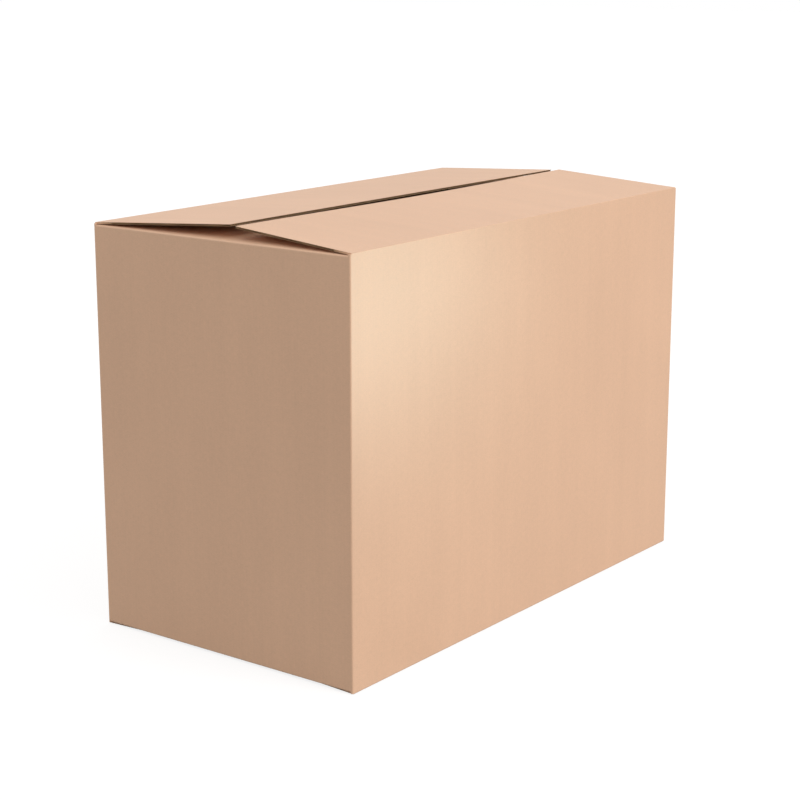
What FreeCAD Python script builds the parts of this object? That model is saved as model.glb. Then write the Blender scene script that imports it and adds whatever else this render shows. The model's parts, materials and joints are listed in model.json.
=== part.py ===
"""A closed shipping case of fine-fluted single-wall board, standing on its bottom flaps.

The case is one slotted and scored sheet. Three vertical folds and a glued joint make the four walls.
Flaps folded from all four walls close the bottom, the two long ones glued over the two end ones.
At the top the end flaps lie level and the two long flaps lie over them, untaped and sprung up a
little, with an open slit between their free edges. These two turn about their creases.
X runs along the length, +Z is up, and the origin is the centre of the face that the case stands on.
"""
import FreeCAD, Part
import math
import os

# Outside size of the case, up to the creases of the long top flaps
length = 530.0
width = 290.0
height = 375.0

# Board and folds
board = 1.8
fold_outside = 1.6
fold_inside = 0.4
pressed_crease_outside = 0.4
layer_clearance = 0.2

# Slots and flaps
slot_clearance = 0.3
end_flap_clearance = 0.5
end_flap_reach = 139.0
flap_taper = 10.0
bottom_seam = 1.5

# Long top flaps, with the slit between them, and the angles that they spring up by
slit_front_edge = 12.0
slit_width_left = 5.5
slit_width_right = 9.0
front_flap_lift_degrees = 3.85
back_flap_lift_degrees = 3.75

# Glued joint at the back right corner
glue_tab_width = 32.0
glue_tab_taper = 12.0
glue_tab_clearance = 1.5
raw_edge_setback = 1.0

# How far a block that trims the board runs past it
overrun = 1.0

# Places worked out from the sizes above
half_length = length / 2
half_width = width / 2
joint_corner = half_length - board
end_crease_top = height - board - layer_clearance
end_crease_bottom = board
end_flap_half = half_width - board - end_flap_clearance
slot_root = board / 2
flap_half = half_length - board - slot_clearance
joint_flap_half = flap_half - board
tip_half = flap_half - flap_taper
fold_zone = 2 * fold_outside
back_reach_left = half_width + slit_front_edge - slit_width_left
back_reach_right = half_width + slit_front_edge - slit_width_right

RIGHT = FreeCAD.Vector(1, 0, 0)
BACK = FreeCAD.Vector(0, 1, 0)
UP = FreeCAD.Vector(0, 0, 1)

# Each wall is the middle of its outer face at the floor, and the direction from there into the case
front_wall = (BACK * -half_width, BACK)
back_wall = (BACK * half_width, BACK * -1)
left_wall = (RIGHT * -half_length, RIGHT)
right_wall = (RIGHT * half_length, RIGHT * -1)


def at(x, y, z=0.0):
    return FreeCAD.Vector(x, y, z)


def behind(wall, depth, z):
    """The point of a wall's middle section that lies some way in from its outer face."""
    middle, inward = wall
    return middle + inward * depth + UP * z


def line(start, end):
    return Part.LineSegment(start, end).toShape()


def prism(corners, sweep):
    """A straight-sided block on a polygon."""
    return Part.Face(Part.makePolygon(corners + corners[:1])).extrude(sweep)


def rounded_line(points, radius):
    """Straight runs joined by a quarter circle at each right-angled corner."""
    edges = []
    start = points[0]
    for before, corner, after in zip(points, points[1:], points[2:]):
        back = (before - corner).normalize() * radius
        ahead = (after - corner).normalize() * radius
        middle = corner + (back + ahead) * (1 - math.sqrt(0.5))
        edges.append(line(start, corner + back))
        edges.append(Part.Arc(corner + back, middle, corner + ahead).toShape())
        start = corner + ahead
    edges.append(line(start, points[-1]))
    return edges


def board_section(outer_line, viewed_from, outside=fold_outside):
    """The cut face of folded board, which lies to the right of its outer line for that viewer."""
    runs = zip(outer_line, outer_line[1:])
    sides = [(end - start).normalize().cross(viewed_from) * board for start, end in runs]
    inner_line = [outer_line[0] + sides[0]]
    for corner, before, after in zip(outer_line[1:], sides, sides[1:]):
        inner_line.append(corner + before + after)
    inner_line.append(outer_line[-1] + sides[-1])
    edges = rounded_line(outer_line, outside)
    edges.append(line(outer_line[-1], inner_line[-1]))
    edges += rounded_line(inner_line[::-1], fold_inside)
    edges.append(line(inner_line[0], outer_line[0]))
    return Part.Face(Part.Wire(edges))


def folded_strip(wall, outer_line, half_span, outside=fold_outside):
    """Wall and flap of one side, as a straight strip along the wall, folded at its crease."""
    middle, inward = wall
    along = inward.cross(UP)
    path = [behind(wall, depth, z) - along * half_span for depth, z in outer_line]
    return board_section(path, along, outside).extrude(along * (2 * half_span))


def flap_outline(wall, hinge_ends, tip_ends, reaches):
    """The block that trims a flap: square across its fold, then tapering to its free edge.

    The ends are places along X or Y, lowest first, and each end has its own reach from the wall.
    """
    middle, inward = wall
    across = RIGHT if inward.x == 0 else BACK
    square = board + fold_inside
    corners = []
    for place, depth in [(hinge_ends[0], -overrun), (hinge_ends[0], square),
                         (tip_ends[0], reaches[0]), (tip_ends[1], reaches[1]),
                         (hinge_ends[1], square), (hinge_ends[1], -overrun)]:
        corners.append(middle + inward * depth + across * place - UP * overrun)
    return prism(corners, UP * (height + 2 * overrun))


def mitre_block(wall, half_span):
    """The block below the mitre of a long wall's top fold, which parts the wall from its flap."""
    middle, inward = wall
    along = inward.cross(UP)
    section = [(-overrun, height + overrun), (fold_zone, height - fold_zone),
               (-overrun, height - fold_zone)]
    corners = [behind(wall, depth, z) - along * half_span for depth, z in section]
    return prism(corners, along * (2 * half_span))


def wall_ring():
    """The four walls, from one strip folded in plan, with the glued tab inside the right wall."""
    raw_edge = half_width - raw_edge_setback
    main = [at(half_length, raw_edge), at(half_length, -half_width), at(-half_length, -half_width),
            at(-half_length, half_width), at(0, half_width)]
    joint = [at(0, half_width), at(joint_corner, half_width),
             at(joint_corner, half_width - glue_tab_width)]
    lift = UP * slot_root
    tall = UP * (height - 2 * slot_root)
    ring = board_section(main, UP).translate(lift).extrude(tall)
    tab = board_section(joint, UP).translate(lift).extrude(tall)
    return ring.fuse(tab.cut(tab_trim()))


def tab_trim():
    """What is cut from the tab's two ends, so that it clears the flaps and tapers to its edge."""
    start = half_width - board - fold_inside
    end = half_width - glue_tab_width - overrun
    low = end_crease_bottom + board + glue_tab_clearance
    high = end_crease_top - board - glue_tab_clearance
    sweep = RIGHT * (3 * board)
    blocks = []
    for edge, tapered, outside in [(low, low + glue_tab_taper, 0.0),
                                   (high, high - glue_tab_taper, height)]:
        x = joint_corner - 2 * board
        blocks.append(prism([at(x, start, edge), at(x, end, tapered), at(x, end, outside),
                             at(x, start, outside)], sweep))
    return blocks[0].fuse(blocks[1])


def without_folds(ring):
    """Takes out the strips of wall that the folded strips replace, along all eight creases."""
    # The tab lies against the right wall, so the end walls lose no more than their own thickness
    long_depth = board + fold_inside
    spans = [(front_wall, -flap_half, flap_half, long_depth, 0.0, height),
             (back_wall, -flap_half, joint_flap_half, long_depth, 0.0, height),
             (left_wall, -end_flap_half, end_flap_half, board, end_crease_bottom, end_crease_top),
             (right_wall, -end_flap_half, end_flap_half, board, end_crease_bottom, end_crease_top)]
    for (middle, inward), first, last, depth, bottom, top in spans:
        across = RIGHT if inward.x == 0 else BACK
        rim = [(first, -overrun), (last, -overrun), (last, depth), (first, depth)]
        corners = [middle + across * place + inward * way_in for place, way_in in rim]
        for low, high in [(0.0, bottom + fold_zone), (top - fold_zone, height)]:
            block = prism(corners, UP * (high - low))
            block.translate(UP * low)
            ring = ring.cut(block)
    return ring


def long_top_strip(wall, reach):
    """A long wall's top and its flap, whose crease is pressed sharper so that the flap can swing."""
    path = [(0, height - fold_zone), (0, height), (reach, height)]
    return folded_strip(wall, path, half_length, pressed_crease_outside)


def bottom_flap(wall, crease, hinge_ends, tip_ends, reach):
    """A bottom flap with its fold, up to where the plain wall starts."""
    path = [(reach, crease), (0, crease), (0, crease + fold_zone)]
    strip = folded_strip(wall, path, half_length)
    return strip.common(flap_outline(wall, hinge_ends, tip_ends, (reach, reach)))


def top_end_flap(wall):
    """An end flap, folded in level below the long flaps."""
    path = [(0, end_crease_top - fold_zone), (0, end_crease_top), (end_flap_reach, end_crease_top)]
    hinge_ends = (-end_flap_half, end_flap_half)
    tip_ends = (flap_taper - end_flap_half, end_flap_half - flap_taper)
    strip = folded_strip(wall, path, half_width)
    return strip.common(flap_outline(wall, hinge_ends, tip_ends, (end_flap_reach, end_flap_reach)))


def fold_of_long_wall(wall, hinge_ends):
    """The half of a top fold that belongs to the wall, below the mitre."""
    outline = flap_outline(wall, hinge_ends, hinge_ends, (fold_zone, fold_zone))
    return long_top_strip(wall, fold_zone).common(outline).common(mitre_block(wall, length))


def top_flap(wall, hinge_ends, reaches, lift_degrees):
    """A long top flap with the other half of the fold, turned up about the corner of its crease."""
    middle, inward = wall
    outline = flap_outline(wall, hinge_ends, (-tip_half, tip_half), reaches)
    flap = long_top_strip(wall, max(reaches)).common(outline).cut(mitre_block(wall, length))
    flap.rotate(behind(wall, 0, height), inward.cross(UP), lift_degrees)
    return flap


def carton():
    """Walls, glued joint, bottom and top end flaps, all of one sheet."""
    front_ends = (-flap_half, flap_half)
    back_ends = (-flap_half, joint_flap_half)
    end_ends = (-end_flap_half, end_flap_half)
    long_tips = (-tip_half, tip_half)
    end_tips = (flap_taper - end_flap_half, end_flap_half - flap_taper)
    long_reach = half_width - bottom_seam / 2
    pieces = [bottom_flap(front_wall, 0.0, front_ends, long_tips, long_reach),
              bottom_flap(back_wall, 0.0, back_ends, long_tips, long_reach),
              bottom_flap(left_wall, end_crease_bottom, end_ends, end_tips, end_flap_reach),
              bottom_flap(right_wall, end_crease_bottom, end_ends, end_tips, end_flap_reach),
              top_end_flap(left_wall),
              top_end_flap(right_wall),
              fold_of_long_wall(front_wall, front_ends),
              fold_of_long_wall(back_wall, back_ends)]
    whole = without_folds(wall_ring())
    for piece in pieces:
        whole = whole.fuse(piece)
    return whole.removeSplitter()


def save(shape, name):
    solid = shape.Solids[0]
    solid.exportStep("parts/" + name + ".step")
    print(name, len(shape.Solids), "solid", "valid" if solid.isValid() else "invalid",
          round(solid.Volume / 1000, 1), "cm3")


os.makedirs("parts", exist_ok=True)
save(carton(), "carton")
save(top_flap(front_wall, (-flap_half, flap_half),
              (half_width - slit_front_edge, half_width - slit_front_edge),
              front_flap_lift_degrees), "front_top_flap")
save(top_flap(back_wall, (-flap_half, joint_flap_half), (back_reach_left, back_reach_right),
              back_flap_lift_degrees), "back_top_flap")
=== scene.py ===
"""A closed, untaped carton of kraft corrugated board: one folded sheet whose long top flaps can turn."""
import bmesh
import bpy
import json
import math
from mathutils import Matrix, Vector


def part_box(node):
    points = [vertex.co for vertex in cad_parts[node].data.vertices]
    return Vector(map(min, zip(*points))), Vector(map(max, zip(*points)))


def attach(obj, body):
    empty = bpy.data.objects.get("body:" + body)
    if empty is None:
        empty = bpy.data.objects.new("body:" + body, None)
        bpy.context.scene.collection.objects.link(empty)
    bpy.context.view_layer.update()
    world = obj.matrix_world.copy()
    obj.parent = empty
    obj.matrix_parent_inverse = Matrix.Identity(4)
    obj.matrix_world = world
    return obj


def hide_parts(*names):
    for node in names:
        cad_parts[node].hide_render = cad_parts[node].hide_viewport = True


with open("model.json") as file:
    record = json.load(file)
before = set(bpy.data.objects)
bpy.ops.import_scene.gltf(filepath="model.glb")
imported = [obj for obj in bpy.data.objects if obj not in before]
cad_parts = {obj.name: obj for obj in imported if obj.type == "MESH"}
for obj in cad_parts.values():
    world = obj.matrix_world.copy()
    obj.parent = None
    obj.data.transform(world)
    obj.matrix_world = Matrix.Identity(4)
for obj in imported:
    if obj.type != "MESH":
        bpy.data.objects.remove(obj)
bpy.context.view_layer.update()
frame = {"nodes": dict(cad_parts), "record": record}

# The carton
# One blank of single-wall corrugated kraft board, slotted, creased and folded. Its joint and its bottom
# flaps are glued, and its top end flaps lie level. Each long cut edge shows two thin liners with a gap
# between, which closes up beside the creases of the long top flaps, where the board is pressed.
hinges = {joint["name"]: joint["pos_m"] for joint in frame["record"]["behaviour"]["joints"]}
front_crease = hinges["front_flap_crease"][1]
back_crease = hinges["back_flap_crease"][1]
crease_height = hinges["back_flap_crease"][2]
board_thickness = 0.0018
liner_thickness = 0.0003
layer_tolerance = 0.0001
end_flaps_from = board_thickness + layer_tolerance
end_flaps_to = crease_height - board_thickness - layer_tolerance
cut_depth = 0.006
shortest_cut = 0.02
cut_width_tolerance = 0.0002
pressed_width = 0.019
pressed_shut_from = back_crease - pressed_width
# From fade_from to fade_to the painted shade on the long flaps' end cuts thins out to the liner's tan.
fade_from = pressed_shut_from - 0.002
fade_to = back_crease - 0.003
flute_pitch = 0.0034
x_axis, y_axis, z_axis = Vector((1, 0, 0)), Vector((0, 1, 0)), Vector((0, 0, 1))


def flute_axes(facing, place):
    """The directions across and along the flutes, which run up the walls and on along the flaps."""
    flap = abs(facing.z) > 0.7
    end_side = end_flaps_from < place.z < end_flaps_to if flap else abs(facing.x) > 0.7
    across = y_axis if end_side else x_axis
    along = z_axis if not flap else x_axis if end_side else y_axis
    return across, along


def map_flutes(form, facing=None):
    """Gives a form its UV map, in metres across and along the flutes of the board that it lies in."""
    uv_layer = form.loops.layers.uv.new("flutes")
    for face in form.faces:
        outwards = face.normal if facing is None else facing
        across, along = flute_axes(outwards, face.calc_center_median())
        for loop in face.loops:
            loop[uv_layer].uv = (loop.vert.co.dot(across), loop.vert.co.dot(along))


def finished(form, name, *materials):
    """The form as an object of this name, with its materials."""
    mesh = bpy.data.meshes.new(name)
    form.to_mesh(mesh)
    form.free()
    for material in materials:
        mesh.materials.append(material)
    made = bpy.data.objects.new(name, mesh)
    bpy.context.scene.collection.objects.link(made)
    return made


def cut_edges(form):
    """The long narrow faces where the knife went through the board."""
    found = []
    for face in form.faces:
        run = max(edge.calc_length() for edge in face.edges)
        if run > shortest_cut and abs(face.calc_area() / run - board_thickness) < cut_width_tolerance:
            found.append(face)
    return found


def end_cuts(form):
    """The faces at the two ends of a long flap."""
    return [face for face in form.faces if abs(face.normal.x) > 0.9]


def press_shut(form):
    """Parts a long flap's end cuts near its crease, where the pressed board stays closed; their painted
    shade thins to tan there.
    """
    for side in (-1, 1):
        ends = end_cuts(form)
        outline = [edge for edge in form.edges if any(face in ends for face in edge.link_faces)]
        corners = [corner for corner in form.verts if any(face in ends for face in corner.link_faces)]
        bmesh.ops.bisect_plane(form, geom=ends + outline + corners, plane_no=y_axis,
                               plane_co=y_axis * side * pressed_shut_from)
    for face in end_cuts(form):
        face.material_index = 1


def measure_cut(face):
    """Where one cut edge starts, its run, the way into the board, and the way through its thickness."""
    longest = max(face.edges, key=lambda edge: edge.calc_length())
    run = (longest.verts[1].co - longest.verts[0].co).normalized()
    inward = -face.normal
    through = inward.cross(run)
    reach = [corner.co.dot(run) for corner in face.verts]
    middle = face.calc_center_median()
    start = middle + run * (min(reach) - middle.dot(run))
    return start, run * (max(reach) - min(reach)), inward.copy(), through


def board_from(node_name, piece_name, pressed_crease):
    """The board of one node as a closed mesh, with its cut edges opened and its flutes mapped."""
    form = bmesh.new()
    form.from_mesh(frame["nodes"][node_name].data)
    bmesh.ops.remove_doubles(form, verts=form.verts, dist=1e-6)
    bmesh.ops.dissolve_limit(form, angle_limit=math.radians(1), verts=form.verts, edges=form.edges)
    if pressed_crease:
        press_shut(form)
    cuts = cut_edges(form)
    measured = [measure_cut(face) for face in cuts]
    rims = bmesh.ops.inset_region(form, faces=cuts, thickness=liner_thickness, use_boundary=True,
                                  use_even_offset=True)
    sunk = bmesh.ops.inset_region(form, faces=cuts, thickness=0.0, depth=-cut_depth, use_boundary=True)
    # The cut faces, the liner rims round them and the grooves all take the dark cut paper; on the rims,
    # which are tan liner paper, that dark is painted shade.
    for face in cuts + rims["faces"] + sunk["faces"]:
        face.material_index = 1
    map_flutes(form)
    return finished(form, piece_name, liner_paper, cut_paper_and_painted_shade), measured


def add_node(tree, kind, inputs=(), **settings):
    """A node with its settings, whose inputs are set to a value or linked to another node's output."""
    made = tree.nodes.new(kind)
    for name, value in settings.items():
        setattr(made, name, value)
    for place, value in dict(inputs).items():
        if isinstance(value, bpy.types.NodeSocket):
            tree.links.new(value, made.inputs[place])
        else:
            made.inputs[place].default_value = value
    return made


def blotches(tree, flutes, across, along, detail):
    """Soft noise with this many features a metre across and along the flutes."""
    placed = add_node(tree, "ShaderNodeMapping", {"Vector": flutes, "Scale": (across, along, 1.0)})
    noise = add_node(tree, "ShaderNodeTexNoise", {"Vector": placed.outputs[0], "Scale": 1.0,
                                                  "Detail": detail, "Roughness": 0.6})
    return noise.outputs[0]


def sum_of(tree, parts, middle):
    """The middle value plus each pattern's distance from one half, times its share."""
    total = middle
    for pattern, share in parts:
        centred = add_node(tree, "ShaderNodeMath", {0: pattern, 1: 0.5}, operation="SUBTRACT")
        total = add_node(tree, "ShaderNodeMath", {0: centred.outputs[0], 1: share, 2: total},
                         operation="MULTIPLY_ADD").outputs[0]
    return total


fleck_darkness = 0.55
washboard_depth = 0.00005


def paper(name, tan, spread, roughness, gloss):
    """Unbleached paper with clouds, bands along its flutes, fibres across them, and flecks."""
    material = bpy.data.materials.new(name)
    material.use_nodes = True
    tree = material.node_tree
    shader = tree.nodes["Principled BSDF"]
    shader.inputs["Specular IOR Level"].default_value = gloss
    flutes = add_node(tree, "ShaderNodeUVMap", uv_map="flutes").outputs[0]
    clouds = blotches(tree, flutes, 9.0, 6.0, 3.0)
    bands = blotches(tree, flutes, 38.0, 1.4, 2.0)
    patches = blotches(tree, flutes, 170.0, 240.0, 4.0)
    fibres = blotches(tree, flutes, 330.0, 1900.0, 3.0)
    hairs = blotches(tree, flutes, 600.0, 4200.0, 1.0)
    sides = add_node(tree, "ShaderNodeSeparateXYZ", {0: flutes})
    turns = add_node(tree, "ShaderNodeMath", {0: sides.outputs[0], 1: math.tau / flute_pitch},
                     operation="MULTIPLY")
    wave = add_node(tree, "ShaderNodeMath", {0: turns.outputs[0]}, operation="SINE")
    washboard = add_node(tree, "ShaderNodeMath", {0: wave.outputs[0], 1: 0.5, 2: 0.5},
                         operation="MULTIPLY_ADD").outputs[0]
    tone = sum_of(tree, [(clouds, 0.5), (bands, 0.35), (patches, 0.45), (fibres, 0.9),
                         (washboard, 0.035)], 0.5)
    dark = [channel * (1 - spread) for channel in tan]
    pale = [channel * (1 + spread) for channel in tan]
    ground = add_node(tree, "ShaderNodeMix", {"Factor": tone, 6: (*dark, 1), 7: (*pale, 1)},
                      data_type="RGBA")
    flecks = add_node(tree, "ShaderNodeMapRange", {0: hairs, 1: 0.66, 2: 0.74, 3: 0.0, 4: 0.35})
    fleck_colour = [channel * fleck_darkness for channel in tan]
    flecked = add_node(tree, "ShaderNodeMix", {"Factor": flecks.outputs[0], 6: ground.outputs[2],
                                               7: (*fleck_colour, 1)}, data_type="RGBA")
    tree.links.new(flecked.outputs[2], shader.inputs["Base Color"])
    dullness = sum_of(tree, [(fibres, 0.2), (patches, 0.15)], roughness)
    tree.links.new(dullness, shader.inputs["Roughness"])
    relief = sum_of(tree, [(fibres, 0.5), (patches, 0.2), (washboard, 0.5)], 0.5)
    bump = add_node(tree, "ShaderNodeBump", {"Height": relief, "Strength": 0.6,
                                             "Distance": washboard_depth})
    tree.links.new(bump.outputs[0], shader.inputs["Normal"])
    return material


def painted_shade_thinning_at_creases(material, tan):
    """Thins a cut edge's painted shade out to the liner's tan beside the creases of the long top flaps."""
    tree = material.node_tree
    shader = tree.nodes["Principled BSDF"]
    place = add_node(tree, "ShaderNodeTexCoord").outputs["Object"]
    sides = add_node(tree, "ShaderNodeSeparateXYZ", {0: place})
    off_centre = add_node(tree, "ShaderNodeMath", {0: sides.outputs[1]}, operation="ABSOLUTE")
    shade_thinning = add_node(tree, "ShaderNodeMapRange", {0: off_centre.outputs[0], 1: fade_from, 2: fade_to,
                                                    3: 0.0, 4: 1.0})
    cut_colour = shader.inputs["Base Color"].links[0].from_socket
    faded = add_node(tree, "ShaderNodeMix", {"Factor": shade_thinning.outputs[0], 6: cut_colour, 7: (*tan, 1)},
                     data_type="RGBA")
    tree.links.new(faded.outputs[2], shader.inputs["Base Color"])


liner_tan = (0.74, 0.464, 0.303)
# The cut edge brown is partly the darker fluting paper's own colour and partly painted shade, standing for
# the shadow under the flaps' cut edges and in the slit between them.
cut_brown_and_painted_shade = (0.34, 0.21, 0.118)
liner_paper = paper("kraft_liner", liner_tan, 0.12, 0.55, 0.42)
cut_paper_and_painted_shade = paper("cut_paper_and_painted_shade", cut_brown_and_painted_shade, 0.2, 0.9, 0.05)
painted_shade_thinning_at_creases(cut_paper_and_painted_shade, liner_tan)

carton_board, carton_cuts = board_from("carton", "carton_board", pressed_crease=False)
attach(carton_board, "carton")
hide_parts("carton")

# The fluting in the carton's cut edges
# Corrugated paper glued between the two liners, seen end on where the cut crosses the flutes and as a
# slow wave where it runs nearly along them.
fluting_thickness = 0.00016
flute_height = (board_thickness - 2 * liner_thickness - fluting_thickness) / 2
steps_in_a_flute = 8
setback = 0.0001


def add_fluting(form, start, run, inward, through):
    """A strip of corrugated paper behind one cut edge, as a grid that waves over the flutes."""
    across, along = flute_axes(through, start + run / 2)
    step = flute_pitch / steps_in_a_flute
    columns = 1 + int(abs(run.dot(across)) / step)
    rows = 1 + int(abs(inward.dot(across)) * cut_depth / step)
    grid = bmesh.ops.create_grid(form, x_segments=columns, y_segments=rows, size=0.5)
    clear = run * (1 - 2 * liner_thickness / run.length)
    for vertex in grid["verts"]:
        place = start + run / 2 + clear * vertex.co.x
        place += inward * (setback + (vertex.co.y + 0.5) * (cut_depth - 2 * setback))
        turn = math.tau * place.dot(across) / flute_pitch
        vertex.co = place + through * (flute_height * math.sin(turn))


def fluting_in(cuts, piece_name):
    """All the strips of one board as one piece."""
    form = bmesh.new()
    for cut in cuts:
        add_fluting(form, *cut)
    map_flutes(form, z_axis)
    bmesh.ops.solidify(form, geom=form.faces[:], thickness=fluting_thickness)
    bmesh.ops.recalc_face_normals(form, faces=form.faces)
    return finished(form, piece_name, cut_paper_and_painted_shade)


carton_fluting = fluting_in(carton_cuts, "carton_fluting")
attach(carton_fluting, "carton")

# The front top flap
# Part of the same blank, folded back over the end flaps at a sharply pressed crease. It springs up a
# little because nothing holds it down, and its free edge sags by a hair and lifts at the far corner.
front_reach = 0.133
front_sag = 0.0011
far_corner_lift = 0.0008
flap_taper = 0.01
flap_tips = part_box("front_top_flap")[1].x - flap_taper
bow_steps = 16


def bow(board, fluting, crease, reach, edge_height):
    """Bends a flap by less than its thickness, from nothing at its crease to all of it at its free edge."""
    for piece, steps in [(board, bow_steps), (fluting, 0)]:
        form = bmesh.new()
        form.from_mesh(piece.data)
        for step in range(1, steps):
            whole = form.verts[:] + form.edges[:] + form.faces[:]
            place = x_axis * flap_tips * (2 * step / steps - 1)
            bmesh.ops.bisect_plane(form, geom=whole, plane_co=place, plane_no=x_axis)
        for vertex in form.verts:
            along = min(max((vertex.co.x / flap_tips + 1) / 2, 0), 1)
            outward = abs(vertex.co.y - crease) / reach
            vertex.co.z += edge_height(along) * outward ** 2
        form.to_mesh(piece.data)
        form.free()


def front_edge_height(along):
    """How far the free edge stands off its straight line, at a share of its length from the near end."""
    return far_corner_lift * along ** 6 - front_sag * math.sin(math.pi * along) ** 2


front_flap_board, front_cuts = board_from("front_top_flap", "front_flap_board", pressed_crease=True)
front_fluting = fluting_in(front_cuts, "front_flap_fluting")
bow(front_flap_board, front_fluting, front_crease, front_reach, front_edge_height)
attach(front_flap_board, "front_flap")
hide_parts("front_top_flap")
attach(front_fluting, "front_flap")

# The back top flap
# The other long flap of the blank, whose free edge stands a little off the front flap's and not quite
# parallel to it, so that a dark slit shows between them, its real shade deepened by painted shade on the
# cut edges. Its far corner hangs by a hair.
back_reach = 0.1515
far_corner_sag = 0.0008


def back_edge_height(along):
    """The same for the back flap."""
    return -far_corner_sag * along ** 2


back_flap_board, back_cuts = board_from("back_top_flap", "back_flap_board", pressed_crease=True)
back_fluting = fluting_in(back_cuts, "back_flap_fluting")
bow(back_flap_board, back_fluting, back_crease, back_reach, back_edge_height)
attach(back_flap_board, "back_flap")
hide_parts("back_top_flap")
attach(back_fluting, "back_flap")

# The floor
# A plain matt studio floor. Seen directly or in a reflection it is white where it is lit, and keeps the
# carton's shadow.
floor_half_size = 15.0
floor_grey = 0.26
floor_glow_level = 0.8


def seen_ray(tree):
    """One for rays from the camera, from a reflection or through glass, and zero for diffuse light."""
    path = add_node(tree, "ShaderNodeLightPath")
    seen = path.outputs["Is Camera Ray"]
    for kind in ["Is Glossy Ray", "Is Transmission Ray"]:
        seen = add_node(tree, "ShaderNodeMath", {0: seen, 1: path.outputs[kind]},
                        operation="MAXIMUM").outputs[0]
    return seen


floor_finish = bpy.data.materials.new("floor_finish")
floor_finish.use_nodes = True
floor_tree = floor_finish.node_tree
floor_shader = floor_tree.nodes["Principled BSDF"]
floor_shader.inputs["Roughness"].default_value = 1.0
floor_shader.inputs["Specular IOR Level"].default_value = 0.0
floor_shader.inputs["Base Color"].default_value = (floor_grey, floor_grey, floor_grey, 1)
floor_shader.inputs["Emission Color"].default_value = (1, 1, 1, 1)
floor_glow = add_node(floor_tree, "ShaderNodeMath", {0: seen_ray(floor_tree), 1: floor_glow_level},
                      operation="MULTIPLY")
floor_tree.links.new(floor_glow.outputs[0], floor_shader.inputs["Emission Strength"])
floor_form = bmesh.new()
bmesh.ops.create_grid(floor_form, x_segments=1, y_segments=1, size=floor_half_size)
floor = finished(floor_form, "floor", floor_finish)

# Studio light
# Even white light from all round, a large lamp at the front, and two small softboxes whose cream sheen
# lies on the upper near part of the long side.
sky_level = 0.88
sheen_target = (-0.15, front_crease, 0.34)
sheen_colour = (0.78, 1.0, 0.84)
sheen_lamps = [("near_sheen", (-0.08, -0.41, 0.23), 0.85),
               ("far_sheen", (0.04, -0.41, 0.305), 1.03)]
world = bpy.data.worlds.new("studio")
bpy.context.scene.world = world
world.use_nodes = True
world_tree = world.node_tree
background = world_tree.nodes["Background"]
background.inputs["Color"].default_value = (1, 1, 1, 1)
shown = add_node(world_tree, "ShaderNodeMix", {"Factor": seen_ray(world_tree), "A": sky_level, "B": 1.0})
world_tree.links.new(shown.outputs[0], background.inputs["Strength"])


def add_lamp(name, place, target, size, power):
    """A square softbox that faces its target and is hidden from the camera."""
    light = bpy.data.lights.new(name, "AREA")
    light.shape = "SQUARE"
    light.size = size
    light.energy = power
    lamp = bpy.data.objects.new(name, light)
    lamp.location = place
    lamp.rotation_euler = (Vector(target) - Vector(place)).to_track_quat("-Z", "Y").to_euler()
    lamp.visible_camera = False
    bpy.context.scene.collection.objects.link(lamp)
    return lamp


add_lamp("front_lamp", (0.65, -4.8, 2.0), (0, 0, 0.2), 1.8, 111.0)
for name, place, power in sheen_lamps:
    sheen = add_lamp(name, place, sheen_target, 0.12, power)
    sheen.data.color = sheen_colour
    sheen.visible_diffuse = False

# The viewpoint
# A standing person's eye beyond the near left corner. The place, the tilt and the lens come from the
# creases and corners of the photograph, in its own frame of 800 by 800 pixels.
focal_pixels = 1889.6
frame_pixels = 800
heading = math.radians(-52.951)
look_down = math.radians(13.56)
camera_data = bpy.data.cameras.new("camera")
camera_data.sensor_width = 36.0
camera_data.lens = focal_pixels / frame_pixels * camera_data.sensor_width
camera_data.clip_end = 50.0
camera = bpy.data.objects.new("camera", camera_data)
camera.location = (-1.42718, -1.07194, 0.61388)
camera.rotation_euler = (math.radians(90) - look_down, 0, heading)
bpy.context.scene.collection.objects.link(camera)
bpy.context.scene.camera = camera
bpy.context.scene.view_settings.view_transform = "Standard"
